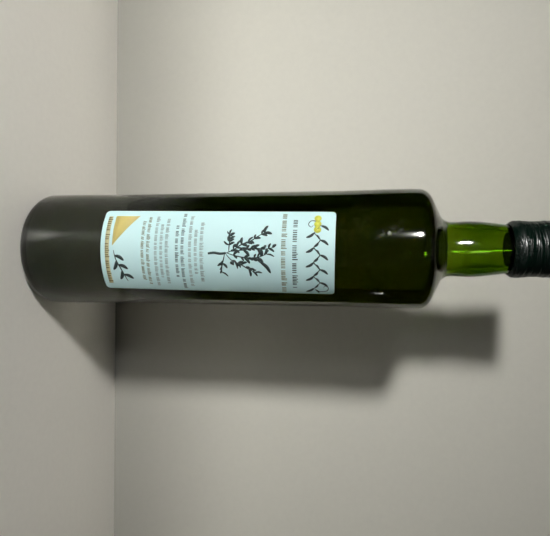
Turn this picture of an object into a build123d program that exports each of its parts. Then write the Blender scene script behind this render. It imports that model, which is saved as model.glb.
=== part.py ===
"""A straight-sided glass bottle of cooking oil, upright, closed by a rolled-on metal cap.

Millimetres, +Z up. The origin is the centre of the base, at the level the bottle stands on, and
the label faces -Y. Round pieces are drawn as half outlines in the XZ plane and revolved.
"""

import os
from math import cos, radians, sin, tan

from build123d import *

# Glass body
body_radius = 35.8  # at the heel and shoulder bands, which take the knocks
body_height = 245.3  # standing level to where wall and shoulder would meet unrounded
wall = 4.0  # glass on the label panel and through the shoulder
heel_radius = 8.5
shoulder_radius = 8.3
shoulder_slope = 26.1  # degrees above the horizontal

# Label panel, slightly sunk between the two bands
panel_recess = 0.4
lower_band = 25.0
upper_band = 24.3
band_ramp = 25.0  # length over which a band fades into the panel
ramp_radius = 300.0

# Base
base_thickness = 5.5
stand_ring_width = 1.8
push_up_height = 3.0
push_up_run = 11.0
push_up_radius = 6.0

# Neck
neck_radius = 16.4
neck_wall = 3.4
neck_blend_radius = 8.1
neck_straight = 19.5
neck_taper = 17.7
neck_top_radius = 14.1
neck_taper_radius = 95.0

# Finish: the part of the glass under the cap
finish_height = 24.8
finish_step = 0.8  # finish beyond the neck's top
finish_wall = 3.9  # glass at the neck's top
bead_start = 0.6  # above the neck's top, all three
bead_full = 2.6
bead_end = 5.6
rim_radius = 1.0

# Oil
oil_below_neck = 0.6  # surface below the foot of the neck

# Cap and tamper band, rolled from one metal shell and parted at the score line
cap_wall = 0.8
cap_clearance = 0.45  # between the cap and the finish
band_clearance = 0.2  # between the tamper band and the bead or neck
cap_edge_radius = 1.2
collar_swell = 0.3  # this and the next two stand out from the cap's plain wall
ridge_swell = 0.35
band_swell = 0.65
ridge_height = 1.3
knurl_height = 6.0  # from the cap's top to the ridge
knurl_count = 72
knurl_depth = 0.18
knurl_tool_radius = 0.45
score_gap = 0.15
band_height = 8.5
band_drop = 0.4  # how far the band's lip reaches below the neck's top
band_tuck_height = 2.1  # height over which it turns in below the bead
band_flare = 0.2  # how much narrower the band is there than at its crown
band_crown = 6.0  # height of the band's widest ring above its lip
band_step = 1.7  # height over which the band narrows again to the collar
roll_radius = 0.8

# Rolled thread in the cap
thread_pitch = 3.3
thread_depth = 0.45
thread_tool_radius = 1.15
thread_start = 3.9  # above the cap's lower edge
thread_end = 2.0  # below the ridge

# Label
label_width = 50.6  # along the curve
label_bottom_margin = 6.0  # from the panel's lower end
label_top_margin = 2.8
label_corner_radius = 2.3
label_thickness = 0.12
label_turn = 5.3  # degrees round the bottle from straight ahead, to the right
label_tilt = -1.1  # degrees

# Heights that follow from the sizes above
slope_rise = tan(radians(shoulder_slope))
panel_radius = body_radius - panel_recess
panel_bottom = lower_band + band_ramp
panel_top = body_height - upper_band - band_ramp
neck_foot = body_height + (body_radius - neck_radius) * slope_rise
neck_shoulder = neck_foot + neck_straight
neck_top = neck_shoulder + neck_taper
rim_height = neck_top + finish_height
oil_level = neck_foot - oil_below_neck
band_bottom = neck_top - band_drop
band_crown_height = band_bottom + band_crown
score_height = band_bottom + band_height
cap_bottom = score_height + score_gap
cap_top = rim_height + cap_wall
knurl_bottom = cap_top - knurl_height
ridge_bottom = knurl_bottom - ridge_height

# Radii that follow
push_up_foot = body_radius - heel_radius - stand_ring_width
push_up_top = push_up_foot - push_up_run
cavity_radius = panel_radius - wall
neck_bore_radius = neck_radius - neck_wall
finish_bore_radius = neck_top_radius - finish_wall
finish_radius = neck_top_radius + finish_step
rim_middle = (finish_radius + finish_bore_radius) / 2
cap_radius = finish_radius + cap_clearance + cap_wall
collar_radius = cap_radius + collar_swell
ridge_radius = cap_radius + ridge_swell
knurl_radius = cap_radius + knurl_depth
band_radius = cap_radius + band_swell
bead_radius = band_radius - cap_wall - band_clearance
lip_radius = neck_top_radius + band_clearance + cap_wall


def smooth_line(corners):
    """A line through (radius, height, rounding) corners, open at both ends."""
    points = [(r, z) for r, z, rounding in corners]
    roundings = [rounding for r, z, rounding in corners]
    return FilletPolyline(*points, radius=roundings[1:-1])


def outside_corners():
    """Half outline of the glass outside, from the middle of the base to the rim."""
    return [
        (0, push_up_height, 0),
        (push_up_top, push_up_height, push_up_radius),
        (push_up_foot, 0, push_up_radius),
        (body_radius, 0, heel_radius),
        (body_radius, lower_band, ramp_radius),
        (panel_radius, panel_bottom, ramp_radius),
        (panel_radius, panel_top, ramp_radius),
        (body_radius, body_height - upper_band, ramp_radius),
        (body_radius, body_height, shoulder_radius),
        (neck_radius, neck_foot, neck_blend_radius),
        (neck_radius, neck_shoulder, neck_taper_radius),
        (neck_top_radius, neck_top, rim_radius),
        (neck_top_radius, neck_top + bead_start, 0),
        (bead_radius, neck_top + bead_full, rim_radius),
        (bead_radius, neck_top + bead_end, 0),
        (finish_radius, neck_top + bead_end, 0),
        (finish_radius, rim_height, rim_radius),
        (rim_middle, rim_height, 0),
    ]


def inside_corners():
    """Half outline of the cavity, from the middle of its floor to the rim."""
    slope_drop = wall / cos(radians(shoulder_slope))
    shoulder_end = body_height + (body_radius - cavity_radius) * slope_rise - slope_drop
    bore_foot = body_height + (body_radius - neck_bore_radius) * slope_rise - slope_drop
    return [
        (0, base_thickness + push_up_height, 0),
        (push_up_top, base_thickness + push_up_height, push_up_radius),
        (push_up_foot, base_thickness, push_up_radius),
        (cavity_radius, base_thickness, heel_radius - wall),
        (cavity_radius, shoulder_end, shoulder_radius - wall),
        (neck_bore_radius, bore_foot, neck_blend_radius + wall),
        (neck_bore_radius, neck_shoulder, neck_taper_radius),
        (finish_bore_radius, neck_top, neck_taper_radius / 2),
        (finish_bore_radius, rim_height, rim_radius),
        (rim_middle, rim_height, 0),
    ]


def rolled_shell(corners):
    """Outline of a ring rolled from sheet: its outside corners and the same line a wall inward."""
    inner_corners = [
        (max(r - cap_wall, 0), min(z, cap_top - cap_wall), rounding / 2)
        for r, z, rounding in corners
    ]
    outer_line = smooth_line(corners)
    inner_line = smooth_line(inner_corners)
    Line(outer_line @ 0, inner_line @ 0)
    Line(outer_line @ 1, inner_line @ 1)


with BuildPart() as bottle:
    with BuildSketch(Plane.XZ):
        with BuildLine():
            outside = smooth_line(outside_corners())
            inside = smooth_line(inside_corners())
            Line(outside @ 0, inside @ 0)
        make_face()
    revolve(axis=Axis.Z)

with BuildPart() as oil:
    with BuildSketch(Plane.XZ):
        with BuildLine():
            cavity = smooth_line(inside_corners()[:-2])
            Polyline(cavity @ 1, (0, neck_top), cavity @ 0)
        make_face()
        with Locations((0, oil_level)):
            Rectangle(
                4 * body_radius, 2 * rim_height, align=(Align.CENTER, Align.MIN), mode=Mode.SUBTRACT
            )
    revolve(axis=Axis.Z)

with BuildPart() as tamper_band:
    with BuildSketch(Plane.XZ):
        with BuildLine():
            rolled_shell(
                [
                    (lip_radius, band_bottom, 0),
                    (band_radius - band_flare, band_bottom + band_tuck_height, roll_radius),
                    (band_radius, band_crown_height, roll_radius),
                    (collar_radius, band_crown_height + band_step, roll_radius),
                    (collar_radius, score_height, 0),
                ]
            )
        make_face()
    revolve(axis=Axis.Z)

with BuildPart() as cap:
    with BuildSketch(Plane.XZ):
        with BuildLine():
            rolled_shell(
                [
                    (collar_radius, cap_bottom, 0),
                    (cap_radius, cap_bottom + thread_start / 2, roll_radius),
                    (cap_radius, ridge_bottom - ridge_height / 2, roll_radius),
                    (ridge_radius, ridge_bottom, ridge_height / 4),
                    (ridge_radius, knurl_bottom, ridge_height / 4),
                    (knurl_radius, knurl_bottom + ridge_height / 2, 0),
                    (knurl_radius, cap_top, cap_edge_radius),
                    (0, cap_top, 0),
                ]
            )
        make_face()
    revolve(axis=Axis.Z)
    # The rolled thread is a shallow round-bottomed groove.
    thread_bottom = cap_bottom + thread_start
    with BuildLine() as thread_path:
        Helix(
            thread_pitch,
            ridge_bottom - thread_end - thread_bottom,
            cap_radius - thread_depth + thread_tool_radius,
            center=(0, 0, thread_bottom),
        )
    with BuildSketch(Plane(origin=thread_path.line @ 0, z_dir=thread_path.line % 0)):
        Circle(thread_tool_radius)
    sweep(path=thread_path.line, is_frenet=True, mode=Mode.SUBTRACT)
    # Fine upright knurling gives the fingers a grip.
    with BuildSketch(Plane.XY.offset(knurl_bottom + ridge_height)):
        with PolarLocations(cap_radius + knurl_tool_radius, knurl_count):
            Circle(knurl_tool_radius)
    extrude(amount=knurl_height - ridge_height - cap_edge_radius, mode=Mode.SUBTRACT)

with BuildPart() as front_label:
    label_bottom = panel_bottom + label_bottom_margin
    label_height = panel_top - label_top_margin - label_bottom
    chord = 2 * panel_radius * sin(label_width / 2 / panel_radius)
    turn = radians(label_turn)
    with BuildSketch(Plane.XY.offset(panel_bottom)):
        Circle(panel_radius + label_thickness)
        Circle(panel_radius, mode=Mode.SUBTRACT)
    extrude(amount=panel_top - panel_bottom)
    with BuildSketch(
        Plane(
            origin=(0, 0, label_bottom + label_height / 2),
            x_dir=(cos(turn), sin(turn), 0),
            z_dir=(sin(turn), -cos(turn), 0),
        )
    ):
        RectangleRounded(chord, label_height, label_corner_radius, rotation=label_tilt)
    extrude(amount=body_radius, mode=Mode.INTERSECT)

pieces = {
    "bottle_glass": bottle,
    "oil": oil,
    "tamper_band": tamper_band,
    "cap": cap,
    "front_label": front_label,
}
os.makedirs("parts", exist_ok=True)
for name, piece in pieces.items():
    piece.part.label = name
    export_step(piece.part, f"parts/{name}.step")
print(f"stands {cap_top:.1f} mm tall, {2 * body_radius:.1f} mm across")
print(f"holds {oil.part.volume / 1000:.0f} ml of oil in {bottle.part.volume / 1000:.0f} ml of glass")
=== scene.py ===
"""Looks of a full bottle of cooking oil: dark green glass, oil, paper label and rolled-on metal closure.

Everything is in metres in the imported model's frame, +Z up, with the label facing -Y. Sizes stand in
property groups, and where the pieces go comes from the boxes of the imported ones.
"""

import random
from math import acos, ceil, cos, exp, pi, radians, sin, sqrt, tan

import bmesh
import bpy
from bpy.props import FloatProperty, FloatVectorProperty, IntProperty, PointerProperty
from mathutils import Matrix, Vector, noise


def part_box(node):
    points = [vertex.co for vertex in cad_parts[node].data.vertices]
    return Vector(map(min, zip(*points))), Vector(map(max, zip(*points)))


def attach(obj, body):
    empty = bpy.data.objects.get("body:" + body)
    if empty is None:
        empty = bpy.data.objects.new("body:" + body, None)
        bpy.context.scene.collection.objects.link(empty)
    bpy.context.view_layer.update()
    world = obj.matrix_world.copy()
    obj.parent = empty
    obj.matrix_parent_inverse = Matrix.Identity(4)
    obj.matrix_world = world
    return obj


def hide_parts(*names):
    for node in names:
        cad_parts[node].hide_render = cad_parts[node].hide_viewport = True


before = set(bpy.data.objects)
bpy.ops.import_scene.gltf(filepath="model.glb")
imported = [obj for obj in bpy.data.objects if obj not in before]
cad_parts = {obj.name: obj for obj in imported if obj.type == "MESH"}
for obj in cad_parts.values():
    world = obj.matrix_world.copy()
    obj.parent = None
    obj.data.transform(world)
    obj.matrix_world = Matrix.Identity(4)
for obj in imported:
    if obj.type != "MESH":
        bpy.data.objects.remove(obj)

bl_info = {
    "name": "Oil Bottle Looks",
    "version": (1, 0, 0),
    "blender": (4, 5, 0),
    "location": "View3D > Sidebar > Oil Bottle",
    "description": "Glass, oil, paper label and metal closure of a bottle of cooking oil",
    "category": "Object",
}

MM = 0.001
BODY = "root"
ROUND_SIDES = 240  # sides of the round glass and oil
WALL_STEP = 4 * MM  # longest stretch of a plain glass wall
METAL_STEP = 0.21 * MM  # longest stretch of creased metal
PLAIN_METAL_STEP = 1.5 * MM  # longest stretch of the rest of it

glass_low, glass_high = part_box("bottle_glass")
oil_low, oil_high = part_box("oil")
band_low, band_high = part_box("tamper_band")
cap_low, cap_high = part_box("cap")
label_low, label_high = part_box("front_label")


def length(name, description, millimetres):
    """A length property, given in millimetres and kept in metres."""
    return FloatProperty(
        name=name, description=description, default=millimetres * MM, unit="LENGTH", precision=5
    )


def turn(name, description, degrees):
    """An angle property, given in degrees and kept in radians."""
    return FloatProperty(name=name, description=description, default=radians(degrees), subtype="ANGLE")


def colour(name, description, red, green, blue):
    """A colour property, in the linear values that a shader takes."""
    return FloatVectorProperty(
        name=name, description=description, default=(red, green, blue), subtype="COLOR", min=0, max=1
    )


def share(name, description, value):
    """A plain number property."""
    return FloatProperty(name=name, description=description, default=value, min=0)


def location(name, description, x, y, z):
    """A property for a place, in metres."""
    return FloatVectorProperty(name=name, description=description, default=(x, y, z), subtype="TRANSLATION")


class GlassSizes(bpy.types.PropertyGroup):
    body_height: length("Body height", "Standing level to the unrounded shoulder corner", 245.3)
    heel_radius: length("Heel radius", "Rounding between base and side", 8.5)
    shoulder_radius: length("Shoulder radius", "Rounding between side and shoulder", 8.3)
    shoulder_slope: turn("Shoulder slope", "Slope of the shoulder above the horizontal", 26.1)
    panel_recess: length("Panel recess", "How far the label panel lies below the two bands", 0.4)
    lower_band: length("Lower band", "Height of the band above the base", 25.0)
    upper_band: length("Upper band", "Height of the band below the shoulder", 24.3)
    band_ramp: length("Band ramp", "Length over which a band fades into the panel", 25.0)
    ramp_radius: length("Ramp radius", "Rounding at both ends of a ramp", 300.0)
    stand_ring: length("Stand ring", "Width of the flat ring that the bottle stands on", 1.8)
    push_up_height: length("Push-up height", "Height of the hollow under the base", 3.0)
    push_up_run: length("Push-up run", "Width of the slope into that hollow", 11.0)
    push_up_radius: length("Push-up radius", "Rounding at both ends of that slope", 6.0)
    neck_radius: length("Neck radius", "Outside of the neck's straight foot", 16.4)
    neck_wall: length("Neck wall", "Glass at the neck's foot", 3.4)
    bore_start: length("Bore start", "How much the bore narrows over the neck's lower half", 0.4)
    neck_blend: length("Neck blend", "Rounding between shoulder and neck", 8.1)
    neck_straight: length("Neck straight", "Height of the neck's straight foot", 19.5)
    neck_swell: length("Neck swell", "How much narrower the neck is at its very foot", 0.38)
    swell_start: length("Swell start", "Start of that swell above the neck's foot", 7.3)
    swell_end: length("Swell end", "End of that swell above the neck's foot", 12.9)
    swell_radius: length("Swell radius", "Rounding at both ends of that swell", 60.0)
    neck_taper: length("Neck taper", "Height over which the neck narrows", 17.7)
    neck_top_radius: length("Neck top radius", "Outside of the neck below the finish", 14.1)
    taper_radius: length("Taper radius", "Rounding where the taper starts", 70.0)
    finish_step: length("Finish step", "How far the finish stands out from the neck's top", 0.8)
    finish_wall: length("Finish wall", "Glass at the neck's top", 3.9)
    bead_depth: length("Bead depth", "How far the bead stands out from the neck's top", 1.7)
    bead_start: length("Bead start", "Start of the bead above the neck's top", 0.6)
    bead_full: length("Bead full", "Height above the neck's top where the bead is full", 2.6)
    bead_end: length("Bead end", "End of the bead above the neck's top", 5.6)
    rim_radius: length("Rim radius", "Rounding of the rim and the bead", 1.0)
    seam_height: length("Seam height", "How far the mould seams stand out", 0.05)
    seam_width: length("Seam width", "Half width of a mould seam", 0.3)
    waviness: length("Waviness", "Unevenness of the wall's inside", 0.12)
    skin_waviness: length("Skin waviness", "Unevenness of the wall's outside", 0.03)
    absorption: share("Absorption", "Light taken by the glass for each metre, most in blue", 700.0)
    tint: colour("Tint", "What the glass leaves of each colour", 0.651, 0.764, 0.0)


class OilSizes(bpy.types.PropertyGroup):
    reach: length("Reach", "How far the oil reaches into the glass", 0.25)
    climb: length("Climb", "How far the surface climbs at the wall", 0.35)
    climb_width: length("Climb width", "Width over which that fades", 0.9)
    absorption: share("Absorption", "Light taken by the oil for each metre, most in blue", 240.0)
    tint: colour("Tint", "What the oil leaves of each colour", 0.835, 0.755, 0.0)


class LabelSizes(bpy.types.PropertyGroup):
    width: length("Width", "Width along the curve", 50.6)
    thickness: length("Thickness", "Thickness of the paper", 0.12)
    corner_radius: length("Corner radius", "Rounding of the four corners", 2.3)
    ink: length("Ink", "How far the print stands above the paper", 0.03)
    around: turn("Turn", "Turn round the bottle from straight ahead", 5.3)
    tilt: turn("Tilt", "Lean of the label", -1.19)
    paper: colour("Paper", "Colour of the paper", 0.58, 0.835, 0.855)
    dark_ink: colour("Dark ink", "Colour of the bold print and drawing", 0.010, 0.030, 0.030)
    grey_ink: colour("Grey ink", "Colour of the small print", 0.20, 0.26, 0.25)
    olive_ink: colour("Olive ink", "Colour of the second title", 0.15, 0.15, 0.06)
    ochre_ink: colour("Ochre ink", "Colour of the corner field", 0.72, 0.61, 0.20)
    sand_ink: colour("Sand ink", "Colour of the strip along the lower edge", 0.52, 0.50, 0.28)
    brown_ink: colour("Brown ink", "Colour of the marks on that strip", 0.15, 0.125, 0.05)
    lime_ink: colour("Lime ink", "Colour of the three dots", 0.72, 0.76, 0.10)


class ClosureSizes(bpy.types.PropertyGroup):
    wall: length("Wall", "Thickness of the metal", 0.8)
    collar_swell: length("Collar swell", "How far the collar stands out", 0.3)
    ridge_swell: length("Ridge swell", "How far the ridge stands out", 0.35)
    ridge_height: length("Ridge height", "Height of the ridge", 1.3)
    knurl_height: length("Knurl height", "Height from the ridge to the top", 6.0)
    knurl_count: IntProperty(name="Knurl count", description="Number of grip ribs", default=72)
    knurl_depth: length("Knurl depth", "Depth of the grip ribs", 0.18)
    edge_radius: length("Edge radius", "Rounding of the top edge", 1.2)
    roll_radius: length("Roll radius", "Rounding of the rolled rings", 0.8)
    thread_pitch: length("Thread pitch", "Rise of the thread in one turn", 3.3)
    thread_depth: length("Thread depth", "Depth of the rolled thread", 0.45)
    thread_radius: length("Thread radius", "Radius of the roll that presses the thread", 1.15)
    thread_start: length("Thread start", "Start of the thread above the cap's edge", 3.9)
    thread_end: length("Thread end", "End of the thread below the ridge", 2.0)
    lip_inset: length("Lip inset", "How far the band's lip lies inside its crown", 1.7)
    band_tuck: length("Band tuck", "Height over which the band turns in at its lip", 2.1)
    band_flare: length("Band flare", "How much narrower the band is above its lip", 0.2)
    band_crown: length("Band crown", "Height of the widest ring above the lip", 6.0)
    band_step: length("Band step", "Height over which the band narrows again", 1.7)
    crease_depth: length("Crease depth", "Depth of the creases round the band", 0.36)
    crease_height: length("Crease height", "Height of one crease", 1.1)
    fine_crease_height: length("Fine crease height", "Height of the fine creases between", 0.5)
    cap_crease: share("Cap crease", "Depth of the cap's creases beside the band's", 0.35)
    dent_depth: length("Dent depth", "Depth of the shallow dents in the cap", 0.06)
    paint: colour("Paint", "Colour of the painted metal", 0.0015, 0.008, 0.005)


class StageLook(bpy.types.PropertyGroup):
    lens: FloatProperty(name="Lens", description="Focal length", default=32.06, unit="CAMERA")
    eye: location("Eye", "Place of the camera", 0.0119, -0.3035, 0.2030)
    tilt: turn("Tilt", "How far the camera looks down", 9.08)
    roll: turn("Roll", "How far the frame is turned from lying on its side", 0.40)
    wall_gap: length("Wall gap", "Distance from the bottle's axis to the backdrop", 93.4)
    extent: length("Extent", "Half width of floor and backdrop", 4000.0)
    lamp: location("Lamp", "Place of the lamp", -0.475, -0.692, 0.346)
    lamp_width: length("Lamp width", "Diameter of the lamp", 110.0)
    lamp_power: share("Lamp power", "Power of the lamp in watts", 1.24)
    lamp_tone: colour("Lamp tone", "Colour of the lamp, its bulb and the glint", 1.0, 0.985, 0.96)
    lamp_aim: location("Lamp aim", "Place that the lamp is turned to", -0.05, 0.0, 0.105)
    lamp_spread: turn("Lamp spread", "Full angle of the lamp's cone", 78.0)
    bulb: location("Bulb", "Place of the lamp's bulb, as gloss shows it", -0.345, -0.768, 0.358)
    bulb_width: length("Bulb width", "Width of that bulb", 92.0)
    bulb_height: length("Bulb height", "Height of that bulb", 34.0)
    bulb_power: share("Bulb power", "Power of that bulb in watts", 10.5)
    strip: location("Strip", "Place of an upright light that glass alone shows", 0.165, -0.768, 0.53)
    strip_width: length("Strip width", "Width of that light", 70.0)
    strip_height: length("Strip height", "Height of that light", 260.0)
    strip_power: share("Strip power", "Power of that light in watts", 3.0)
    strip_tone: colour("Strip tone", "Colour of that light", 0.55, 1.0, 0.10)
    glint: location("Glint", "Place of a small light close at the right", 0.155, -0.016, 0.2215)
    glint_width: length("Glint width", "Width of that light", 6.0)
    glint_power: share("Glint power", "Power of that light in watts", 0.0012)
    sheen: location("Sheen", "Middle of a sheen on the floor", -0.0195, -0.060, 0.0005)
    sheen_width: length("Sheen width", "Width of that sheen", 26.0)
    sheen_length: length("Sheen length", "Length of that sheen", 84.0)
    sheen_turn: turn("Sheen turn", "Turn of that sheen about the upright", -29.0)
    sheen_level: share("Sheen level", "Brightness in the middle of that sheen", 3.6)
    # Painted reflection: dark flags at the sides that only gloss sees, glowing like the floor at their
    # foot.
    flag_gap: length("Flag gap", "Distance from the axis to the black flags at the sides", 165.0)
    flag_fade: length("Flag fade", "Height over which a flag darkens from its foot", 75.0)
    flag_foot_glow: share("Flag level", "Brightness of a flag at its foot", 0.4)
    flag_depth: length("Flag depth", "How far the flags reach forward", 250.0)
    top: location("Top light", "Place of the soft light overhead", 0.0, -0.3, 1.8)
    top_width: length("Top light width", "Width of that light", 1400.0)
    top_power: share("Top light power", "Power of that light in watts", 0.4)
    top_tone: colour("Top light tone", "Colour of that light", 1.0, 0.99, 0.97)
    fill: share("Fill", "Brightness of the room for what it lights", 0.0273)
    room: colour("Room", "Colour of the room", 0.58, 0.54, 0.47)
    floor: colour("Floor", "Colour of the floor", 0.96, 0.93, 0.86)
    wall: colour("Backdrop", "Colour of the backdrop", 0.72, 0.71, 0.635)
    # Painted shade: the backdrop and the floor are painted darker towards the corner between them.
    corner_shade_rise: length("Corner rise", "Height over which the backdrop darkens to its foot", 130.0)
    corner_shade_run: length("Corner run", "Length over which the floor darkens to the backdrop", 60.0)
    corner_shade_wall: share("Corner wall", "What is left of the backdrop's colour at its foot", 0.55)
    corner_shade_floor: share("Corner floor", "What is left of the floor's colour there", 0.95)


# Lines and turned shapes


def rounded_line(corners, arc_step=radians(6), arc_piece=1.2 * MM):
    """Points of a line through (radius, height, rounding) corners, its round corners as arcs."""
    points = [Vector(corners[0][:2])]
    for before, middle, after in zip(corners, corners[1:], corners[2:]):
        corner, rounding = Vector(middle[:2]), middle[2]
        back = (Vector(before[:2]) - corner).normalized()
        ahead = (Vector(after[:2]) - corner).normalized()
        bend = pi - acos(max(-1, min(1, back.dot(ahead))))
        if rounding == 0 or bend < 1e-6:
            points.append(corner)
            continue
        start = corner + back * rounding * tan(bend / 2)
        centre = corner + (back + ahead).normalized() * rounding / cos(bend / 2)
        way = 1 if back.x * ahead.y - back.y * ahead.x < 0 else -1
        steps = max(2, ceil(bend / arc_step), ceil(bend * rounding / arc_piece))
        for step in range(steps + 1):
            spin = Matrix.Rotation(way * bend * step / steps, 2)
            points.append(centre + spin @ (start - centre))
    points.append(Vector(corners[-1][:2]))
    return points


def divided(points, longest):
    """The same line with no stretch longer than longest."""
    line = [points[0]]
    for start, end in zip(points, points[1:]):
        pieces = max(1, ceil((end - start).length / longest))
        line += [start.lerp(end, piece / pieces) for piece in range(1, pieces + 1)]
    return line


def pushed_out(points, distance):
    """The same line moved sideways by distance, to its right."""
    moved = []
    for index, point in enumerate(points):
        along = points[min(index + 1, len(points) - 1)] - points[max(index - 1, 0)]
        moved.append(point + Vector((along.y, -along.x)).normalized() * distance)
    return moved


def even_turns(count):
    """Equal steps round a full turn."""
    return [2 * pi * step / count for step in range(count)]


def turned(line, angles, shape=None, closed=False):
    """A mesh made by turning a line of (radius, height) points about the axis.

    shape gives the true radius of a point from its radius, height, angle and index in the line.
    """
    mesh = bmesh.new()
    rows = []
    for index, (radius, height) in enumerate(line):
        if radius < 1e-7:
            rows.append([mesh.verts.new((0, 0, height))])
            continue
        ring = []
        for angle in angles:
            reach = shape(radius, height, angle, index) if shape else radius
            ring.append(mesh.verts.new((reach * cos(angle), reach * sin(angle), height)))
        rows.append(ring)
    next_rows = rows[1:] + rows[:1] if closed else rows[1:]
    for low, high in zip(rows, next_rows):
        if len(low) == len(high) == 1:
            continue
        for side in range(len(angles)):
            after = (side + 1) % len(angles)
            corners = (
                low[side % len(low)],
                low[after % len(low)],
                high[after % len(high)],
                high[side % len(high)],
            )
            mesh.faces.new(dict.fromkeys(corners))
    return mesh


def new_object(name, data):
    """An object in the scene."""
    thing = bpy.data.objects.new(name, data)
    bpy.context.scene.collection.objects.link(thing)
    return thing


def make_piece(mesh, name, material, stands_for=()):
    """Turns a bmesh into a smooth piece that rides on the bottle."""
    bmesh.ops.recalc_face_normals(mesh, faces=mesh.faces)
    data = bpy.data.meshes.new(name)
    mesh.to_mesh(data)
    mesh.free()
    data.shade_smooth()
    data.materials.append(material)
    piece = new_object(name, data)
    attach(piece, BODY)
    if stands_for:
        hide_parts(*stands_for)


# Shader helpers


def add(tree, kind, inputs=None, **settings):
    """A node with its settings made and its inputs set or linked."""
    node = tree.nodes.new(kind)
    for name, value in settings.items():
        setattr(node, name, value)
    for name, value in (inputs or {}).items():
        if isinstance(value, bpy.types.NodeSocket):
            tree.links.new(value, node.inputs[name])
        else:
            node.inputs[name].default_value = value
    return node


def calc(tree, operation, *values):
    """The result of a Math node on numbers or sockets."""
    return add(tree, "ShaderNodeMath", dict(enumerate(values)), operation=operation).outputs[0]


def remap(tree, value, start, end, low, high, kind="LINEAR"):
    """A value that runs from low at start to high at end, and no further."""
    ends = {"Value": value, "From Min": start, "From Max": end, "To Min": low, "To Max": high}
    return add(tree, "ShaderNodeMapRange", ends, interpolation_type=kind).outputs[0]


def scaled(tree, tone, factor):
    """A colour made darker or lighter by a factor."""
    return add(tree, "ShaderNodeVectorMath", {0: tone, "Scale": factor}, operation="SCALE").outputs[0]


def object_place(tree):
    """The place of a point in its own piece, in metres."""
    return add(tree, "ShaderNodeTexCoord").outputs["Object"]


def clouds(tree, size, detail):
    """A noise pattern with patches of a size."""
    scale = calc(tree, "DIVIDE", 1.0, size)
    inputs = {"Vector": object_place(tree), "Scale": scale, "Detail": detail}
    return add(tree, "ShaderNodeTexNoise", inputs).outputs[0]


def bumped(tree, height, strength, distance):
    """A surface direction that follows a small height."""
    inputs = {"Strength": strength, "Distance": distance, "Height": height}
    return add(tree, "ShaderNodeBump", inputs).outputs[0]


def new_material(name):
    """An empty node material and its tree."""
    material = bpy.data.materials.new(name)
    material.use_nodes = True
    material.node_tree.nodes.clear()
    return material, material.node_tree


def principled(tree, inputs):
    """A Principled shader."""
    return add(tree, "ShaderNodeBsdfPrincipled", inputs).outputs[0]


def show(tree, surface):
    """Ends a material with its surface."""
    add(tree, "ShaderNodeOutputMaterial", {"Surface": surface})


def new_group(name, inputs, outputs):
    """An empty node group with its sockets, and the nodes that carry them."""
    group = bpy.data.node_groups.new(name, "ShaderNodeTree")
    for key, kind, value in inputs:
        socket = group.interface.new_socket(key, in_out="INPUT", socket_type=kind)
        socket.default_value = value
    for key, kind in outputs:
        group.interface.new_socket(key, in_out="OUTPUT", socket_type=kind)
    return group, add(group, "NodeGroupInput").outputs, add(group, "NodeGroupOutput").inputs


def mottle_group():
    """Colour and height of a surface that is uneven at two scales, such as paper or plaster."""
    group, given, result = new_group(
        "mottle",
        [
            ("Color", "NodeSocketColor", (1, 1, 1, 1)),
            ("Patch", "NodeSocketFloat", 0.01),
            ("Grain", "NodeSocketFloat", 0.0005),
            ("Amount", "NodeSocketFloat", 0.1),
        ],
        [("Color", "NodeSocketColor"), ("Height", "NodeSocketFloat")],
    )
    patch, grain = [clouds(group, given[key], 3.0) for key in ("Patch", "Grain")]
    spread = calc(group, "SUBTRACT", calc(group, "ADD", patch, grain), 1.0)
    change = calc(group, "MULTIPLY_ADD", spread, given["Amount"], 1.0)
    group.links.new(scaled(group, given["Color"], change), result["Color"])
    group.links.new(grain, result["Height"])
    return group


def smudge_group():
    """Roughness of a glossy surface with finger marks and fine dust."""
    group, given, result = new_group(
        "smudge",
        [
            ("Clean", "NodeSocketFloat", 0.03),
            ("Smudged", "NodeSocketFloat", 0.2),
            ("Patch", "NodeSocketFloat", 0.02),
            ("Grain", "NodeSocketFloat", 0.0008),
        ],
        [("Roughness", "NodeSocketFloat")],
    )
    levels = [
        remap(group, clouds(group, given[key], 4.0), start, end, 0.0, 1.0)
        for key, start, end in (("Patch", 0.5, 0.72), ("Grain", 0.42, 0.62))
    ]
    mask = calc(group, "MULTIPLY", *levels)
    rough = remap(group, mask, 0.0, 1.0, given["Clean"], given["Smudged"])
    group.links.new(rough, result["Roughness"])
    return group


GROUPS = {"mottle": mottle_group, "smudge": smudge_group}


def grouped(tree, name, inputs):
    """The outputs of a shared node group, placed in a material with its own values."""
    group = bpy.data.node_groups.get(name) or GROUPS[name]()
    return add(tree, "ShaderNodeGroup", inputs, node_tree=group).outputs


# Finishes


def clear_finish(material, tree, look, gloss):
    """Ends the material of a clear piece that takes its colour from its depth."""
    absorbed = {"Color": (*look.tint, 1), "Density": look.absorption}
    add(
        tree,
        "ShaderNodeOutputMaterial",
        {
            "Surface": principled(tree, {"Transmission Weight": 1.0, **gloss}),
            "Volume": add(tree, "ShaderNodeVolumeAbsorption", absorbed).outputs[0],
        },
    )
    return material


def glass_finish(look):
    """Dark green bottle glass with finger marks."""
    material, tree = new_material("bottle_green_glass")
    marks = grouped(tree, "smudge", {"Clean": 0.05, "Smudged": 0.26, "Patch": 0.022, "Grain": 0.002})
    gloss = {"IOR": 1.52, "Roughness": marks["Roughness"], "Specular IOR Level": 0.42}
    return clear_finish(material, tree, look, gloss)


def oil_finish(look):
    """Clear yellow-green oil."""
    material, tree = new_material("clear_cooking_oil")
    gloss = {"IOR": 1.47, "Roughness": 0.01, "Specular IOR Level": 0.25}
    return clear_finish(material, tree, look, gloss)


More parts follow.
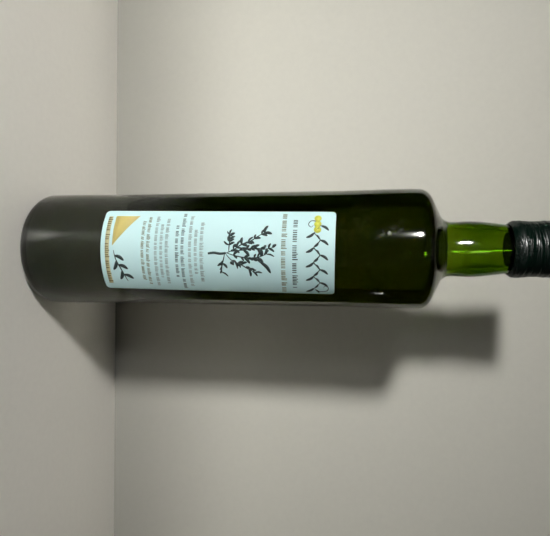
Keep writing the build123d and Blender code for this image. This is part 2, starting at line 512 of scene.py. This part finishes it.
def printed_finish(name, tone, roughness, amount):
    """Paper or ink: a mottled matt colour with a fine tooth."""
    material, tree = new_material(name)
    mottle = grouped(
        tree, "mottle", {"Color": (*tone, 1), "Patch": 0.012, "Grain": 0.0004, "Amount": amount}
    )
    tooth = bumped(tree, mottle["Height"], 0.25, 0.00003)
    show(tree, principled(tree, {"Base Color": mottle["Color"], "Roughness": roughness, "Normal": tooth}))
    return material


def closure_finish(look):
    """Painted sheet metal, glossy, with finger marks and faint scuffs."""
    material, tree = new_material("painted_closure_metal")
    marks = grouped(tree, "smudge", {"Clean": 0.24, "Smudged": 0.36, "Patch": 0.006, "Grain": 0.0006})
    mottle = grouped(
        tree, "mottle", {"Color": (*look.paint, 1), "Patch": 0.004, "Grain": 0.0005, "Amount": 0.6}
    )
    paint = {
        "Base Color": mottle["Color"],
        "Roughness": marks["Roughness"],
        "Normal": bumped(tree, mottle["Height"], 0.3, 0.00004),
        "Specular IOR Level": 0.3,
        "Anisotropic": 0.85,
    }
    show(tree, principled(tree, paint))
    return material


def plaster_finish(name, tone, roughness, corner, see_through_back=False):
    """Plain board or plaster. A backdrop isn't seen from behind and casts no shadow.

    corner gives the painted shade in the room's corner: the axis along which the colour darkens, where the
    corner is, where that painted dark has faded out, and the level left in the corner.
    """
    material, tree = new_material(name)
    mottle = grouped(tree, "mottle", {"Color": (*tone, 1), "Patch": 0.25, "Grain": 0.004, "Amount": 0.06})
    axis, deepest, faded, level = corner
    along = add(tree, "ShaderNodeSeparateXYZ", {0: object_place(tree)}).outputs[axis]
    # Painted shade: the colour darkens smoothly into the room's corner.
    painted_corner_shade = remap(tree, along, deepest, faded, level, 1.0, "SMOOTHSTEP")
    board = {
        "Base Color": scaled(tree, mottle["Color"], painted_corner_shade),
        "Roughness": roughness,
        "Specular IOR Level": 0.4,
    }
    surface = principled(tree, board)
    if see_through_back:
        behind = add(tree, "ShaderNodeNewGeometry").outputs["Backfacing"]
        shadow = add(tree, "ShaderNodeLightPath").outputs["Is Shadow Ray"]
        clear = calc(tree, "MAXIMUM", behind, shadow)
        nothing = add(tree, "ShaderNodeBsdfTransparent").outputs[0]
        surface = add(tree, "ShaderNodeMixShader", {0: clear, 1: surface, 2: nothing}).outputs[0]
    show(tree, surface)
    return material


def glow(tree, tone, level):
    """A surface that shines by itself."""
    return add(tree, "ShaderNodeEmission", {"Color": (*tone, 1), "Strength": level}).outputs[0]


def flag_reflection_finish(look):
    """Painted reflection: a black flag that only gloss sees, glowing as pale as the floor at its foot."""
    material, tree = new_material("black_flag")
    height = add(tree, "ShaderNodeSeparateXYZ", {0: object_place(tree)}).outputs["Z"]
    fade = remap(tree, height, 0.0, look.flag_fade, look.flag_foot_glow, 0.0, "SMOOTHSTEP")
    show(tree, glow(tree, look.floor, fade))
    return material


def sheen_finish(look):
    """A soft streak of light on the floor, clear where it has faded out and dark from below."""
    material, tree = new_material("floor_sheen")
    streak = {
        "Vector": object_place(tree),
        "Location": look.sheen,
        "Rotation": (0, 0, look.sheen_turn),
        "Scale": (look.sheen_width / 2, look.sheen_length / 2, 1),
    }
    spot = add(tree, "ShaderNodeMapping", streak, vector_type="TEXTURE").outputs[0]
    fade = add(tree, "ShaderNodeTexGradient", {0: spot}, gradient_type="QUADRATIC_SPHERE")
    behind = add(tree, "ShaderNodeNewGeometry").outputs["Backfacing"]
    level = calc(
        tree, "MULTIPLY", fade.outputs["Fac"], remap(tree, behind, 0.0, 1.0, look.sheen_level, 0.0)
    )
    clear = add(tree, "ShaderNodeBsdfTransparent").outputs[0]
    show(tree, add(tree, "ShaderNodeAddShader", {0: glow(tree, look.floor, level), 1: clear}).outputs[0])
    return material


# Glass and oil


def slope_height(size, radius):
    """Height of the shoulder's straight slope at a radius."""
    return size.body_height + (glass_high.x - radius) * tan(size.shoulder_slope)


def push_up(size, height):
    """Corners of the hollow under the base or of the cavity's floor above it."""
    foot = glass_high.x - size.heel_radius - size.stand_ring
    top = height + size.push_up_height
    return [
        (0, top, 0),
        (foot - size.push_up_run, top, size.push_up_radius),
        (foot, height, size.push_up_radius),
    ]


def glass_outside(size):
    """Half outline of the glass outside, from the middle of the base to the rim."""
    body = glass_high.x
    panel = body - size.panel_recess
    slim = size.neck_radius - size.neck_swell
    neck_foot = slope_height(size, size.neck_radius)
    neck_shoulder = neck_foot + size.neck_straight
    neck_top = neck_shoulder + size.neck_taper
    finish = size.neck_top_radius + size.finish_step
    bead = size.neck_top_radius + size.bead_depth
    rim_middle = size.neck_top_radius + (size.finish_step - size.finish_wall) / 2
    return [
        *push_up(size, 0),
        (body, 0, size.heel_radius),
        (body, size.lower_band, size.ramp_radius),
        (panel, size.lower_band + size.band_ramp, size.ramp_radius),
        (panel, size.body_height - size.upper_band - size.band_ramp, size.ramp_radius),
        (body, size.body_height - size.upper_band, size.ramp_radius),
        (body, size.body_height, size.shoulder_radius),
        (slim, slope_height(size, slim), size.neck_blend),
        (slim, neck_foot + size.swell_start, size.swell_radius),
        (size.neck_radius, neck_foot + size.swell_end, size.swell_radius),
        (size.neck_radius, neck_shoulder, size.taper_radius),
        (size.neck_top_radius, neck_top, size.rim_radius),
        (size.neck_top_radius, neck_top + size.bead_start, 0),
        (bead, neck_top + size.bead_full, size.rim_radius),
        (bead, neck_top + size.bead_end, 0),
        (finish, neck_top + size.bead_end, 0),
        (finish, glass_high.z, size.rim_radius),
        (rim_middle, glass_high.z, 0),
    ]


def glass_inside(size):
    """Half outline of the cavity, from the middle of its floor to the rim."""
    cavity, floor = oil_high.x, oil_low.z
    wall = glass_high.x - size.panel_recess - cavity
    drop = wall / cos(size.shoulder_slope)
    bore = size.neck_radius - size.neck_wall
    finish_bore = size.neck_top_radius - size.finish_wall
    rim_middle = finish_bore + (size.finish_step + size.finish_wall) / 2
    neck_shoulder = slope_height(size, size.neck_radius) + size.neck_straight
    return [
        *push_up(size, floor),
        (cavity, floor, size.heel_radius - wall),
        (cavity, slope_height(size, cavity) - drop, size.shoulder_radius - wall),
        (bore, slope_height(size, bore) - drop, size.neck_blend + wall),
        (bore - size.bore_start, neck_shoulder - size.neck_straight / 2, 2 * size.taper_radius),
        (finish_bore, neck_shoulder + size.neck_taper, size.taper_radius / 4),
        (finish_bore, glass_high.z, size.rim_radius),
        (rim_middle, glass_high.z, 0),
    ]


def wander(angle, height, around, along, seed):
    """Smooth unevenness between -1 and 1 over a round wall.

    It changes faster round the wall as around grows, and up the wall as along shrinks.
    """
    return noise.noise(Vector((cos(angle) * around, sin(angle) * around + seed, height / along)))


class OILBOTTLE_OT_glass(bpy.types.Operator):
    """Turn the glass, with uneven walls and two mould seams"""

    bl_idname = "oil_bottle.glass"
    bl_label = "Glass"

    def execute(self, context):
        size = context.scene.oil_bottle_glass
        outside = divided(rounded_line(glass_outside(size)), WALL_STEP)
        inside = divided(rounded_line(glass_inside(size)), WALL_STEP)
        inside.reverse()
        around = context.scene.oil_bottle_label.around
        seams = [(around + side) % (2 * pi) for side in (0, pi)]
        width = size.seam_width / glass_high.x
        angles = set(even_turns(ROUND_SIDES))
        steps = 3  # extra rows of points at each side of a seam
        for seam in seams:
            angles = {angle for angle in angles if abs(angle - seam) > steps * width}
            angles |= {(seam + step * width) % (2 * pi) for step in range(-steps, steps + 1)}

        def uneven(radius, height, angle, index):
            if index >= len(outside):
                return radius + size.waviness * wander(angle, height, around=1.3, along=22 * MM, seed=5)
            off_seam = min(abs(angle - seam) for seam in seams) / width
            ridge = size.seam_height * exp(-off_seam * off_seam)
            wave = 0.5 + 0.5 * wander(angle, height, around=1.6, along=26 * MM, seed=11)
            return radius - size.skin_waviness * wave + ridge

        mesh = turned(outside + inside[1:], sorted(angles), uneven)
        make_piece(mesh, "glass_bottle", glass_finish(size), ["bottle_glass"])
        return {"FINISHED"}


class OILBOTTLE_OT_oil(bpy.types.Operator):
    """Fill the bottle, with the oil's edge just inside the glass"""

    bl_idname = "oil_bottle.oil"
    bl_label = "Oil"

    def execute(self, context):
        size = context.scene.oil_bottle_oil
        level = oil_high.z
        wall = divided(rounded_line(glass_inside(context.scene.oil_bottle_glass)), WALL_STEP)
        wall = pushed_out(wall, size.reach)
        wall[0].x = 0
        top = level + size.climb
        below = [point for point in wall if point.y < top]
        last, over = below[-1], wall[len(below)]
        edge = last.lerp(over, (top - last.y) / (over.y - last.y))
        rings = 24
        surface = []
        for ring in range(1, rings + 1):
            radius = edge.x * (1 - (ring / rings) ** 1.5)
            climb = size.climb * exp((radius - edge.x) / size.climb_width)
            surface.append(Vector((radius, level + climb)))
        mesh = turned([*below, edge, *surface], even_turns(ROUND_SIDES))
        make_piece(mesh, "oil_fill", oil_finish(size), ["oil"])
        return {"FINISHED"}


# Label


def label_frame(size):
    """The label's height, and the height of its middle above the base."""
    tall = label_high.z - label_low.z - size.width * abs(sin(size.tilt))
    return tall / cos(size.tilt), (label_high.z + label_low.z) / 2


def on_label(size, across, down, lift):
    """The place on the bottle of a point across from the label's left edge and down from its top."""
    tall, middle = label_frame(size)
    right, up = across - size.width / 2, tall / 2 - down
    turned_right = right * cos(size.tilt) - up * sin(size.tilt)
    height = middle + right * sin(size.tilt) + up * cos(size.tilt)
    panel = -label_low.y - size.thickness
    angle = size.around + turned_right / panel
    reach = panel + lift
    return reach * sin(angle), -reach * cos(angle), height


def lay_slab(mesh, size, grid, low, high):
    """Adds a closed slab on the label, from rows of (across, down) points and two lifts."""
    sheets = [
        [[mesh.verts.new(on_label(size, *point, lift)) for point in row] for row in grid]
        for lift in (low, high)
    ]
    for rows in sheets:
        for row, after in zip(rows, rows[1:]):
            for side in range(len(row) - 1):
                mesh.faces.new((row[side], row[side + 1], after[side + 1], after[side]))
    edges = []
    for rows in sheets:
        right = [row[-1] for row in rows[1:]]
        left = [row[0] for row in rows[-2::-1]]
        edges.append([*rows[0], *right, *rows[-1][-2::-1], *left[:-1]])
    bottom, top = edges
    for side in range(len(bottom)):
        after = (side + 1) % len(bottom)
        mesh.faces.new((bottom[side], bottom[after], top[after], top[side]))


def curve_through(points, step=0.7 * MM):
    """A smooth line through (across, down) points, as evenly spaced points."""
    ends = [points[0], *points, points[-1]]
    line = []
    for a, b, c, d in zip(ends, ends[1:], ends[2:], ends[3:]):
        a, b, c, d = Vector(a), Vector(b), Vector(c), Vector(d)
        steps = max(2, ceil((c - b).length / step))
        for part in range(steps):
            t = part / steps
            bow = (2 * a - 5 * b + 4 * c - d) * t**2 + (3 * b - a - 3 * c + d) * t**3
            line.append(b + 0.5 * ((c - a) * t + bow))
    line.append(Vector(points[-1]))
    return line


def stroke(line, widths):
    """Rows of a pen stroke along a line, from its width at each point."""
    rows = []
    for index, (point, width) in enumerate(zip(line, widths)):
        along = line[min(index + 1, len(line) - 1)] - line[max(index - 1, 0)]
        side = Vector((-along.y, along.x)).normalized() * width / 2
        rows.append([point - side, point + side])
    return rows


def tapered(line, width, tip):
    """Widths that swell in the middle of a line and thin out at both ends."""
    last = len(line) - 1
    return [width * (tip + (1 - tip) * sin(pi * i / last) ** 0.7) for i in range(last + 1)]


class Ink:
    """One colour of print, gathered into one piece."""

    def __init__(self, size):
        self.size = size
        self.mesh = bmesh.new()

    def lay(self, rows, layer=0):
        low = self.size.thickness + (layer - 0.5) * self.size.ink
        high = self.size.thickness + (layer + 1) * self.size.ink
        lay_slab(self.mesh, self.size, rows, low, high)

    def stroke(self, points, width, tip=0.15):
        line = curve_through([(x * MM, y * MM) for x, y in points])
        self.lay(stroke(line, tapered(line, width * MM, tip)))

    def dot(self, across, down, radius, lean=1.0, layer=0):
        steps = 12
        end = 0.04  # of the half turn, left off at each side
        rows = []
        for step in range(steps + 1):
            angle = pi * (end + (1 - 2 * end) * step / steps)
            x = (across - radius * cos(angle)) * MM
            half = radius * lean * sin(angle) * MM
            rows.append([(x, down * MM - half), (x, down * MM + half)])
        self.lay(rows, layer)

    def make(self, name, tone):
        make_piece(self.mesh, name, printed_finish(name, tone, 0.55, 0.25))


DASH_HEIGHTS = (1, 1, 1, 1, 1, 1, 1, 1.3)  # in plain dashes
DASH_GAPS = (0.75, 0.9, 1.3)  # in pen widths
WORD_GAP = 2.4


def print_marks(ink, dice, left, right, top, bottom, pen, slant=0.0, layer=0):
    """A line of small print as plain upright dashes in word-like runs, which spell nothing."""
    base = bottom - 0.14 * (bottom - top)
    plain = 0.62 * (bottom - top)
    across = left
    while across < right:
        for _ in range(dice.randint(3, 8)):
            if across > right:
                break
            high = base - plain * dice.choice(DASH_HEIGHTS)
            wide = pen * dice.uniform(0.85, 1.25)
            leaning = across + slant * (base - high)
            rows = [
                [(leaning * MM, high * MM), ((leaning + wide) * MM, high * MM)],
                [(across * MM, base * MM), ((across + wide) * MM, base * MM)],
            ]
            ink.lay(rows, layer)
            across += wide + pen * dice.choice(DASH_GAPS)
        across += pen * WORD_GAP


# Small print: ink, then left, right, top and bottom in millimetres, pen width and any slant
PRINT_LINES = [
    ("dark", 5.8, 45.8, 20.1, 23.9, 0.50),
    ("olive", 1.9, 49.0, 26.3, 30.2, 0.42),
    ("grey", 8.0, 43.0, 74.0, 77.0, 0.27),
    ("grey", 12.6, 38.1, 77.5, 80.3, 0.27),
    ("grey", 4.0, 47.3, 80.9, 83.7, 0.27),
    ("dark", 2.2, 48.6, 85.4, 88.2, 0.38),
    ("dark", 10.1, 40.6, 88.8, 91.5, 0.38),
    ("grey", 5.8, 45.2, 94.8, 97.7, 0.24),
    ("grey", 9.5, 41.2, 98.2, 100.9, 0.24),
    ("grey", 4.3, 47.0, 101.5, 104.2, 0.24),
    ("olive", 4.6, 46.1, 106.2, 109.0, 0.32, 0.2),
    ("olive", 7.4, 43.6, 109.6, 112.3, 0.32, 0.2),
]


def draw_vine(ink):
    """A trailing vine with a leaf at every bend and a curl at each end."""
    bends = [(9.0 + 4.1 * bend, 11.4 if bend % 2 else 8.2) for bend in range(10)]
    ink.stroke(bends, 0.6, 0.4)
    for index, (across, down) in enumerate(bends):
        way = 1 if index % 2 else -1
        leaf(ink, across, down, -way * 58, 5.4, 1.5)
        leaf(ink, across + 1.2, down - way * 0.8, way * 38, 3.4, 1.1)
    ink.stroke([(9.0, 8.2), (6.6, 10.4), (6.2, 13.6), (8.4, 15.0), (10.0, 13.4), (8.6, 12.2)], 0.5)
    ink.stroke([(45.9, 11.4), (48.4, 8.4), (48.0, 4.4), (45.4, 3.4), (44.2, 5.2), (45.6, 6.2)], 0.5)


def leaf(ink, across, down, heading, long, wide):
    """A slightly bent brush-stroke leaf. The heading is in degrees, 0 across and 90 up."""
    way = Vector((cos(radians(heading)), -sin(radians(heading))))
    side = Vector((way.y, -way.x))
    start = Vector((across, down))
    bend = side * long * 0.1
    ink.stroke([start, start + way * long / 2 + bend, start + way * long], wide, 0.1)


def draw_sprig(ink, dice):
    """An ink drawing of an olive branch: stem, twigs, leaves and a few fruits."""
    ink.stroke([(26.0, 71.6), (25.5, 68.0), (25.9, 64.4), (25.5, 61.0)], 1.5, 0.75)
    twigs = [
        [(25.8, 61.5), (23.5, 56.5), (20.5, 52.0), (18.5, 47.0), (15.8, 43.0), (13.8, 39.5)],
        [(24.2, 57.5), (23.6, 51.0), (22.4, 45.0), (22.9, 39.5), (22.0, 34.5)],
        [(25.5, 60.5), (27.2, 54.5), (28.0, 48.5), (27.6, 43.0), (25.6, 38.0)],
        [(26.2, 61.0), (29.6, 57.6), (32.0, 52.4), (34.6, 48.0), (36.4, 44.5)],
        [(26.2, 61.8), (29.6, 62.6), (33.2, 63.6), (36.6, 64.0)],
        [(24.6, 59.4), (21.0, 59.2), (17.5, 58.8), (15.0, 59.2)],
    ]
    for twig in twigs:
        ink.stroke(twig, 0.7, 0.4)
        line = curve_through([(x * MM, y * MM) for x, y in twig], 2.6 * MM)
        for index in range(2, len(line)):
            along = line[index] - line[index - 1]
            heading = Vector((1, 0)).angle(along) * (-1 if along.y > 0 else 1)
            for side in (-1, 1):
                if dice.random() < 0.2:
                    continue
                leaf(
                    ink,
                    line[index].x / MM,
                    line[index].y / MM,
                    heading * 180 / pi + side * dice.uniform(14, 62),
                    dice.uniform(2.4, 5.0),
                    dice.uniform(0.9, 1.8),
                )
    leaf(ink, 30.0, 41.6, 42, 9.0, 2.0)
    for across, down in ((31.0, 57.6), (31.9, 54.2), (21.2, 55.6)):
        ink.dot(across, down, 1.0, 1.15, layer=1)


def field(left, right, top_left, top_right, bottom):
    """Rows of a flat field of colour in millimetres, whose upper edge may slope."""
    steps = 40
    rows = []
    for step in range(steps + 1):
        across = (left + (right - left) * step / steps) * MM
        top = (top_left + (top_right - top_left) * step / steps) * MM
        rows.append([(across, top), (across, bottom * MM)])
    return rows


def draw_corner(ochre, sand, dark):
    """The field of colour in the lower corner, the strip below it and a twig beside it."""
    ochre.lay(field(4.0, 22.7, 114.68, 129.68, 129.7))
    sand.lay(field(4.3, 46.3, 131.6, 131.6, 134.2))
    dark.stroke([(25.4, 128.8), (31.0, 127.4), (37.6, 124.4), (44.6, 122.0)], 0.7, 0.4)
    leaves = [
        (28.4, 128.1, 62), (31.4, 127.2, -22), (34.0, 126.2, 66), (37.6, 124.4, -18), (40.0, 123.6, 64),
    ]
    for across, down, heading in leaves:
        leaf(dark, across, down, heading, 6.2, 2.1)


class OILBOTTLE_OT_label(bpy.types.Operator):
    """Lay the paper label and its print"""

    bl_idname = "oil_bottle.label"
    bl_label = "Label"

    def execute(self, context):
        size = context.scene.oil_bottle_label
        tall, _ = label_frame(size)
        corner = size.corner_radius
        arc = [corner * (1 - cos(radians(degree))) for degree in range(0, 91, 9)]
        rows = 70
        straight = [corner + (tall - 2 * corner) * row / rows for row in range(1, rows)]
        grid = []
        for down in [*arc, *straight, *(tall - inset for inset in reversed(arc))]:
            inset = min(down, tall - down)
            cut = corner - sqrt(max(0, corner**2 - max(0, corner - inset) ** 2))
            columns = 96
            span = size.width - 2 * cut
            grid.append([(cut + span * column / columns, down) for column in range(columns + 1)])
        mesh = bmesh.new()
        lay_slab(mesh, size, grid, 0, size.thickness)
        paper = printed_finish("label_stock", size.paper, 0.6, 0.05)
        make_piece(mesh, "label_sheet", paper, ["front_label"])

        dice = random.Random(7)
        inks = {name: Ink(size) for name in ("dark", "grey", "olive", "ochre", "sand", "brown", "lime")}
        for name, *place in PRINT_LINES:
            print_marks(inks[name], dice, *place)
        draw_vine(inks["dark"])
        draw_sprig(inks["dark"], dice)
        draw_corner(inks["ochre"], inks["sand"], inks["dark"])
        print_marks(inks["brown"], dice, 5.0, 45.8, 131.2, 134.6, 0.62, layer=1)
        for across in (4.6, 8.1, 11.4):
            inks["lime"].dot(across, 9.9, 2.0)
        for name, ink in inks.items():
            ink.make(f"print_{name}", getattr(size, f"{name}_ink"))
        return {"FINISHED"}


# Closure


def rolled_line(corners, wall, top, last_step=METAL_STEP):
    """Outside and inside of rolled sheet metal, as one closed line in two parts.

    The outside is divided finely up to its last stretch, which is divided by last_step.
    """
    inner = [(max(r - wall, 0), min(z, top - wall), rounding / 2) for r, z, rounding in corners]
    line = rounded_line(corners)
    outside = divided(line[:-1], METAL_STEP) + divided(line[-2:], last_step)[1:]
    inside = divided(rounded_line(inner), PLAIN_METAL_STEP)
    inside.reverse()
    return outside, inside


def creases(angle, height, tall, seed):
    """Folds that run round rolled sheet metal: 0 where two meet and about 1 at most."""
    warp = 0.5 * wander(angle, height, around=2.2, along=9 * MM, seed=seed)
    folds = wander(angle, height + warp * tall, around=1.4, along=tall, seed=seed)
    return abs(folds) * 2


def smooth_step(value, start, end):
    """0 before start, 1 after end, smooth between them."""
    done = max(0, min(1, (value - start) / (end - start)))
    return done * done * (3 - 2 * done)


class OILBOTTLE_OT_closure(bpy.types.Operator):
    """Roll the cap and its tamper band"""

    bl_idname = "oil_bottle.closure"
    bl_label = "Cap and band"

    def execute(self, context):
        size = context.scene.oil_bottle_closure
        finish = closure_finish(size)
        turns = even_turns(8 * size.knurl_count)
        self.roll_cap(size, finish, turns)
        self.roll_band(size, finish, turns)
        return {"FINISHED"}

    def roll_cap(self, size, finish, turns):
        """The cap: collar, rolled thread, ridge and knurled grip."""
        plain = cap_high.x - size.ridge_swell
        low, top = cap_low.z, cap_high.z
        knurl_low = top - size.knurl_height
        ridge_low = knurl_low - size.ridge_height
        grip = plain + size.knurl_depth
        outside, inside = rolled_line(
            [
                (plain + size.collar_swell, low, 0),
                (plain, low + size.thread_start / 2, size.roll_radius),
                (plain, ridge_low - size.ridge_height / 2, size.roll_radius),
                (cap_high.x, ridge_low, size.ridge_height / 4),
                (cap_high.x, knurl_low, size.ridge_height / 4),
                (grip, knurl_low + size.ridge_height / 2, 0),
                (grip, top, size.edge_radius),
                (0, top, 0),
            ],
            size.wall,
            top,
            PLAIN_METAL_STEP,
        )
        first = low + size.thread_start
        last = ridge_low - size.thread_end
        laps = (last - first) / size.thread_pitch
        early, late = 0.04, 0.06  # laps over which the thread fades in and out

        def thread(angle, height):
            """Depth of the rolled thread, which fades in and out."""
            deepest = 0
            for lap in range(-1, int(laps) + 2):
                done = angle / (2 * pi) + lap
                off = height - first - done * size.thread_pitch
                if abs(off) > size.thread_radius:
                    continue
                depth = sqrt(size.thread_radius**2 - off**2) - size.thread_radius
                fade = smooth_step(done, -early, late) * (1 - smooth_step(done, laps - late, laps + early))
                deepest = max(deepest, (depth + size.thread_depth) * fade)
            return deepest

        def pressed(radius, height, angle, index):
            if index >= len(outside) or radius < plain - size.thread_depth:
                return radius
            knurl = smooth_step(height, knurl_low + 0.9 * size.ridge_height, ridge_low + 3.2 * MM)
            knurl *= 1 - smooth_step(height, top - 1.3 * size.edge_radius, top - 0.5 * size.edge_radius)
            rib = (0.5 + 0.5 * cos(size.knurl_count * angle)) ** 1.5 * size.knurl_depth * knurl
            fold = creases(angle, height, size.crease_height, seed=31)
            fold *= size.cap_crease * size.crease_depth * (1 - knurl)
            dent = size.dent_depth * wander(angle, height, around=2.5, along=5 * MM, seed=3) ** 2
            return radius - thread(angle, height) - rib - fold - dent

        mesh = turned([*outside, *inside], turns, pressed, closed=True)
        make_piece(mesh, "closure_cap", finish, ["cap"])

    def roll_band(self, size, finish, turns):
        """The tamper band, creased where it was rolled in under the bead."""
        crown, low = band_high.x, band_low.z
        collar = cap_high.x - size.ridge_swell + size.collar_swell
        crown_height = low + size.band_crown
        outside, inside = rolled_line(
            [
                (crown - size.lip_inset, low, 0),
                (crown - size.band_flare, low + size.band_tuck, size.roll_radius),
                (crown, crown_height, size.roll_radius),
                (collar, crown_height + size.band_step, size.roll_radius),
                (collar, band_high.z, 0),
            ],
            size.wall,
            glass_high.z + size.wall,
        )

        def creased(radius, height, angle, index):
            if index >= len(outside):
                return radius
            fold = creases(angle, height, size.crease_height, seed=17)
            fold += 0.5 * creases(angle, height, size.fine_crease_height, seed=53)
            pleat = abs(wander(angle, height, around=14, along=6 * MM, seed=71))
            near_lip = 1 - smooth_step(height, low + size.band_tuck, crown_height)
            return radius - size.crease_depth * (0.55 * fold + 0.5 * pleat * near_lip)

        mesh = turned([*outside, *inside], turns, creased, closed=True)
        make_piece(mesh, "closure_band", finish, ["tamper_band"])


# Stage


def flat_sheet(name, start, along, up, material):
    """A flat sheet that isn't part of the bottle, from one corner and its two sides."""
    start, along, up = Vector(start), Vector(along), Vector(up)
    data = bpy.data.meshes.new(name)
    data.from_pydata([start, start + along, start + along + up, start + up], [], [(0, 1, 2, 3)])
    data.materials.append(material)
    sheet = new_object(name, data)
    return sheet


def hide_from(thing, *rays):
    """Keeps a sheet or a light from being seen by some kinds of ray."""
    for ray in rays:
        setattr(thing, f"visible_{ray}", False)


def set_sheets(look):
    """Floor and backdrop, and what gloss alone sees: two black flags, which paint dark reflections with a
    pale foot, and a sheen on the floor.
    """
    far, gap = look.extent, look.wall_gap
    # Painted shade in the corner between floor and backdrop.
    floor_painted_shade = ("Y", gap, gap - look.corner_shade_run, look.corner_shade_floor)
    wall_painted_shade = ("Z", 0.0, look.corner_shade_rise, look.corner_shade_wall)
    floor = plaster_finish("pale_floor", look.floor, 0.55, floor_painted_shade)
    wall = plaster_finish("pale_wall", look.wall, 0.9, wall_painted_shade, see_through_back=True)
    flat_sheet("floor", (-far, -far, 0), (2 * far, 0, 0), (0, 2 * far, 0), floor)
    flat_sheet("backdrop", (-far, gap, 0), (2 * far, 0, 0), (0, 0, far), wall)
    black = flag_reflection_finish(look)
    front = -look.flag_depth
    deep, tall = (0, gap - front, 0), (0, 0, 3 * glass_high.z)
    reach = look.sheen_length
    start = look.sheen - Vector((reach, reach, 0))
    # Seen by gloss alone: the flags paint dark reflections with a pale foot.
    for sheet in (
        flat_sheet("flag_left", (-look.flag_gap, front, 0), deep, tall, black),
        flat_sheet("flag_right", (look.flag_gap, front, 0), deep, tall, black),
        flat_sheet("sheen", start, (2 * reach, 0, 0), (0, 2 * reach, 0), sheen_finish(look)),
    ):
        hide_from(sheet, "camera", "diffuse", "transmission", "shadow")


def hang_lights(look):
    """The lamp, the lights that gloss or glass alone shows, and the soft light overhead."""
    middle = (glass_low + glass_high) / 2
    warm = look.lamp_tone
    for name, key, shape, aim, tall, tone, unseen_by in (
        ("key_lamp", "lamp", "DISK", look.lamp_aim, look.lamp_width, warm, ("glossy", "transmission")),
        ("bulb", "bulb", "ELLIPSE", middle, look.bulb_height, warm, ("diffuse", "transmission")),
        ("strip", "strip", "RECTANGLE", middle, look.strip_height, look.strip_tone, ("diffuse", "glossy")),
        ("glint", "glint", "SQUARE", middle, look.glint_width, warm, ("diffuse", "transmission")),
        ("top_light", "top", "SQUARE", middle, look.top_width, look.top_tone, ()),
    ):
        data = bpy.data.lights.new(name, "AREA")
        data.shape = shape
        data.size = getattr(look, f"{key}_width")
        data.size_y = tall
        data.energy = getattr(look, f"{key}_power")
        data.color = tone
        light = new_object(name, data)
        light.location = getattr(look, key)
        light.rotation_euler = (Vector(aim) - light.location).to_track_quat("-Z", "Y").to_euler()
        hide_from(light, "camera", *unseen_by)
    bpy.data.lights["key_lamp"].spread = look.lamp_spread


def light_room(look):
    """The room round the bottle: dim for what it lights, pale where it is looked at."""
    world = bpy.data.worlds.new("room")
    world.use_nodes = True
    tree = world.node_tree
    tree.nodes.clear()
    path = add(tree, "ShaderNodeLightPath").outputs
    looked_at = calc(tree, "MAXIMUM", path["Is Camera Ray"], path["Is Transmission Ray"])
    strength = remap(tree, looked_at, 0.0, 1.0, look.fill, 1.0)
    sky = add(tree, "ShaderNodeBackground", {"Color": (*look.room, 1), "Strength": strength})
    add(tree, "ShaderNodeOutputWorld", {"Surface": sky.outputs[0]})
    bpy.context.scene.world = world


def set_camera(scene, look):
    """The camera, which lies on its side, so that the bottle's top is at the right."""
    data = bpy.data.cameras.new("camera")
    data.lens = look.lens
    camera = new_object("camera", data)
    back = Vector((0, -cos(look.tilt), sin(look.tilt)))
    up = Vector((0, sin(look.tilt), cos(look.tilt)))
    side = Vector((1, 0, 0))
    frame_right = up * cos(look.roll) - side * sin(look.roll)
    frame_up = -up * sin(look.roll) - side * cos(look.roll)
    axes = Matrix((frame_right, frame_up, back)).transposed().to_4x4()
    camera.matrix_world = Matrix.Translation(look.eye) @ axes
    scene.camera = camera


class OILBOTTLE_OT_stage(bpy.types.Operator):
    """Set the floor, backdrop, lamps and camera"""

    bl_idname = "oil_bottle.stage"
    bl_label = "Stage"

    def execute(self, context):
        look = context.scene.oil_bottle_stage
        set_sheets(look)
        hang_lights(look)
        light_room(look)
        set_camera(context.scene, look)
        context.scene.view_settings.view_transform = "Standard"
        return {"FINISHED"}


class OILBOTTLE_PT_sidebar(bpy.types.Panel):
    """Sizes and steps of the oil bottle"""

    bl_label = "Oil Bottle"
    bl_space_type = "VIEW_3D"
    bl_region_type = "UI"
    bl_category = "Oil Bottle"

    def draw(self, context):
        for name, operator in STEPS.items():
            box = self.layout.box()
            look = getattr(context.scene, name)
            for key in look.__annotations__:
                box.prop(look, key)
            box.operator(operator.bl_idname)


STEPS = {
    "oil_bottle_stage": OILBOTTLE_OT_stage,
    "oil_bottle_glass": OILBOTTLE_OT_glass,
    "oil_bottle_oil": OILBOTTLE_OT_oil,
    "oil_bottle_label": OILBOTTLE_OT_label,
    "oil_bottle_closure": OILBOTTLE_OT_closure,
}
LOOKS = {
    "oil_bottle_stage": StageLook,
    "oil_bottle_glass": GlassSizes,
    "oil_bottle_oil": OilSizes,
    "oil_bottle_label": LabelSizes,
    "oil_bottle_closure": ClosureSizes,
}


def register():
    for kind in (*LOOKS.values(), *STEPS.values(), OILBOTTLE_PT_sidebar):
        bpy.utils.register_class(kind)
    for name, look in LOOKS.items():
        setattr(bpy.types.Scene, name, PointerProperty(type=look))


def unregister():
    for name in LOOKS:
        delattr(bpy.types.Scene, name)
    for kind in (OILBOTTLE_PT_sidebar, *STEPS.values(), *LOOKS.values()):
        bpy.utils.unregister_class(kind)


def main():
    register()
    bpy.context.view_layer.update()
    bpy.ops.oil_bottle.stage()
    bpy.ops.oil_bottle.glass()
    bpy.ops.oil_bottle.oil()
    bpy.ops.oil_bottle.label()
    bpy.ops.oil_bottle.closure()


if __name__ == "__main__":
    main()
